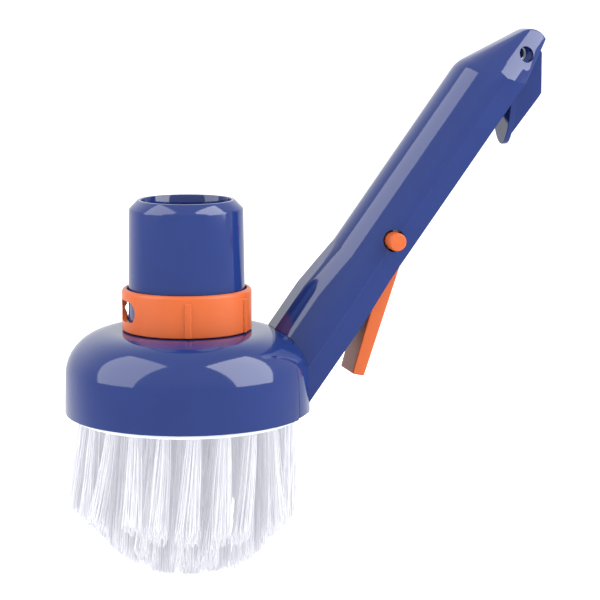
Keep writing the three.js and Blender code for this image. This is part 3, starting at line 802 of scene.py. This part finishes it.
def lock_button(name, side):
    """A stud with a crowned face, a flange that the lever's ears push, and a spigot for the spring."""
    face = 18.5
    stud = rod(name, 3.05, button_v, button_t, side * (face - 0.55), side * 7.2, 64)
    work(stud, rod("crown", 2.72, button_v, button_t, side * (face - 1.2), side * face, 64), "UNION")
    ease(stud, 0.28, 50, 3)
    low, high = sorted((side * 6.5, side * 8.5))
    plate_side = [(button_v - 3.05, button_t - 6.6), (button_v + 3.05, button_t - 6.6),
                  (button_v + 3.05, button_t + 3.05), (button_v - 3.05, button_t + 3.05)]
    flange = pulled("flange", [hand(v, low, t) for v, t in plate_side], Vector((0, (high - low) * mm, 0)))
    work(stud, ease(flange, 0.3, 50, 2), "UNION")
    work(stud, rod("spigot", 1.75, button_v, button_t, side * 4.6, side * 7.0, 32), "UNION")
    return polish(stud, 35)


dress(lock_button("button_near", -1), orange_gloss, "orange_plastic", "near_button", "lock_button_near")
dress(lock_button("button_far", 1), orange_gloss, "orange_plastic", "far_button", "lock_button_far")

coil_half = 5.85
coil_turns = 5
bpy.ops.object.select_all(action="DESELECT")
bpy.ops.mesh.primitive_circle_add(vertices=10, radius=0.35 * mm, fill_type="NOTHING",
                                  location=hand(button_v, -coil_half, button_t))
coil = bpy.context.object
coil.name = "coil_spring"
bpy.ops.object.mode_set(mode="EDIT")
bpy.ops.mesh.select_all(action="SELECT")
bpy.ops.transform.translate(value=(2.4 * mm, 0, 0))
bpy.ops.object.mode_set(mode="OBJECT")
winding = coil.modifiers.new("winding", "SCREW")
winding.axis = "Y"
winding.angle = 2 * math.pi * coil_turns
winding.screw_offset = 2 * coil_half * mm
winding.steps = winding.render_steps = 32 * coil_turns
winding.use_merge_vertices = False
apply_on(coil, winding)
bpy.ops.object.transform_apply(location=True, rotation=True, scale=True)
bpy.ops.object.mode_set(mode="EDIT")
bpy.ops.mesh.select_all(action="SELECT")
bpy.ops.mesh.fill_holes(sides=12)
close_up(coil)
polish(coil, 40, weighted=False)
dress(coil, steel, "steel", "head_and_handle", "button_spring")
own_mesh(coil)

# ---- Release lever ----
# The orange paddle under the channel. Squeezed, it turns on a steel pin and its two wedge ears draw the
# buttons in. One moulding, with rounded edges, a hollow in its thick end and a barrel for the pin.
paddle = [(24.6, 15.3), (26.3, 19.2), (66, 6.4), (73, 5.3), (79.5, 4.0), (79.5, 1.2), (76.5, 3.2), (70.5, 3.9),
          (65.3, 5), (62.8, 5.6), (61.4, 2.4), (59.6, 2.4), (52, 5.4)]
lever = pulled("lever_paddle", [hand(v, -10.7, t) for t, v in paddle], Vector((0, 21.4 * mm, 0)))
plan = [(20, 7.25), (60, 8.3), (84, 8.3), (84, -8.3), (60, -8.3), (20, -7.25)]
trim = pulled("trim", [hand(-20, w, t) for t, w in plan], hand(40, 0, 0) - hand(-20, 0, 0))
work(lever, trim, "INTERSECT")
ease(lever, 0.5, 32, 3)
pocket = [(15.8, 31), (21.5, 31), (8.5, 56.5), (7.4, 56.5)]
work(lever, pulled("pocket", [hand(v, -5.25, t) for v, t in pocket], Vector((0, 10.5 * mm, 0))))
work(lever, rod("barrel", 2.8, pivot_v, pivot_t, -9.2, 9.2), "UNION")
for side in (-1, 1):
    wedge = [(0.2, 10.5), (1.1, 9.3), (3.2, 6.9), (6.2, 6.9), (6.2, 8.5), (3.4, 10.7), (0.2, 10.7)]
    ear = pulled("ear", [hand(v, side * w, 62.7) for v, w in wedge], hand(0, 0, 65) - hand(0, 0, 62.7))
    work(lever, ear, "UNION")
work(lever, rod("pin_bore", 1.8, pivot_v, pivot_t, -20, 20))
polish(lever, 35)
dress(lever, orange_gloss, "orange_plastic", "lever", "release_lever")

# ---- Lever pin ----
# A plain 3 mm stainless pin across the channel, held in two blind bosses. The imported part's own shape is
# right, so it stays and takes the steel finish.
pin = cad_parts["lever_pin"]
pin.data.materials.clear()
pin.data.materials.append(steel)

# ---- Floor, light and camera ----
# A plain pale floor, two large softboxes to the left and right, and a weak fill low on the left. The studio
# is brightest behind the object, and plain white where it is seen directly.
bpy.ops.object.select_all(action="DESELECT")
bpy.ops.mesh.primitive_circle_add(vertices=96, radius=120, fill_type="NGON", location=(0, 0, -0.0002))
floor = bpy.context.object
floor.name = "floor"
bpy.ops.object.transform_apply(location=True, rotation=True, scale=True)
floor_paint = bpy.data.materials.new("floor_paint")
floor_paint.use_nodes = True
floor_surface = floor_paint.node_tree.nodes["Principled BSDF"]
floor_surface.inputs["Base Color"].default_value = (0.86, 0.86, 0.87, 1)
floor_surface.inputs["Roughness"].default_value = 0.9
floor_surface.inputs["Emission Color"].default_value = (1, 1, 1, 1)
floor_surface.inputs["Emission Strength"].default_value = 0.55
floor.data.materials.append(floor_paint)
floor.visible_glossy = False

view_turn = math.radians(-15)
view_height = math.radians(9.07)
camera_right = Vector((math.cos(view_turn), math.sin(view_turn), 0))
camera_away = Vector((-math.sin(view_turn), math.cos(view_turn), 0))
light_aim = head(10, 0, 25)
for side, power in ((-1, 8.5), (1, 14)):
    toward = (camera_right * side * 0.766 - camera_away * 0.266 + Vector((0, 0, 0.585))).normalized()
    width_way = (camera_right * side * 0.36 + camera_away * 0.92 - Vector((0, 0, 0.1))).normalized()
    height_way = toward.cross(width_way).normalized()
    width_way = height_way.cross(toward).normalized()
    bpy.ops.object.light_add(type="AREA", location=light_aim + toward * 0.95)
    softbox = bpy.context.object
    softbox.name = "softbox_left" if side < 0 else "softbox_right"
    softbox.rotation_euler = Matrix((width_way, height_way, toward)).transposed().to_euler()
    softbox.data.shape = "RECTANGLE"
    softbox.data.size = 0.80
    softbox.data.size_y = 1.20
    softbox.data.energy = power
    softbox.visible_camera = False

fill_toward = (-camera_right * 0.9 - camera_away * 0.4 - Vector((0, 0, 0.12))).normalized()
bpy.ops.object.light_add(type="AREA", location=light_aim + fill_toward * 0.9)
fill = bpy.context.object
fill.name = "fill"
fill.rotation_euler = fill_toward.to_track_quat("Z", "Y").to_euler()
fill.data.size = 0.9
fill.data.energy = 3
fill.visible_camera = False
fill.visible_glossy = False

world = bpy.data.worlds.new("studio")
bpy.context.scene.world = world
world.use_nodes = True
sky = world.node_tree.nodes["Background"]
sky.inputs["Color"].default_value = (0.97, 0.98, 1, 1)
sky_place = world.node_tree.nodes.new("ShaderNodeTexCoord")
sky_parts = world.node_tree.nodes.new("ShaderNodeSeparateXYZ")
sky_fade = world.node_tree.nodes.new("ShaderNodeMapRange")
sky_fade.interpolation_type = "SMOOTHSTEP"
sky_fade.inputs["From Min"].default_value = 0.05
sky_fade.inputs["From Max"].default_value = 0.5
sky_fade.inputs["To Min"].default_value = 0.62
sky_fade.inputs["To Max"].default_value = 0.8
wire(world.node_tree, sky_place.outputs["Generated"], sky_parts.inputs["Vector"])
wire(world.node_tree, sky_parts.outputs["Z"], sky_fade.inputs["Value"])
backdrop = world.node_tree.nodes.new("ShaderNodeMapRange")
backdrop.interpolation_type = "SMOOTHSTEP"
backdrop.inputs["From Min"].default_value = 0.3
backdrop.inputs["From Max"].default_value = 0.9
backdrop.inputs["To Min"].default_value = 1
backdrop.inputs["To Max"].default_value = 1.65
sky_join = world.node_tree.nodes.new("ShaderNodeMath")
sky_join.operation = "MULTIPLY"
wire(world.node_tree, sky_parts.outputs["Y"], backdrop.inputs["Value"])
wire(world.node_tree, sky_fade.outputs["Result"], sky_join.inputs[0])
wire(world.node_tree, backdrop.outputs["Result"], sky_join.inputs[1])
sky_seen = world.node_tree.nodes.new("ShaderNodeLightPath")
sky_white = world.node_tree.nodes.new("ShaderNodeMath")
sky_white.operation = "MAXIMUM"
wire(world.node_tree, sky_join.outputs["Value"], sky_white.inputs[0])
wire(world.node_tree, sky_seen.outputs["Is Camera Ray"], sky_white.inputs[1])
wire(world.node_tree, sky_white.outputs["Value"], sky.inputs["Strength"])
bpy.context.scene.view_settings.view_transform = "Standard"

aim = head(36.53, -9.79, 37.56)
back = Vector((math.sin(view_turn) * math.cos(view_height), -math.cos(view_turn) * math.cos(view_height),
               math.sin(view_height)))
bpy.ops.object.camera_add(location=aim + back * 0.70245,
                          rotation=(math.pi / 2 - view_height, 0, view_turn))
camera = bpy.context.object
camera.data.lens = 126
camera.data.sensor_width = 36
bpy.context.scene.camera = camera
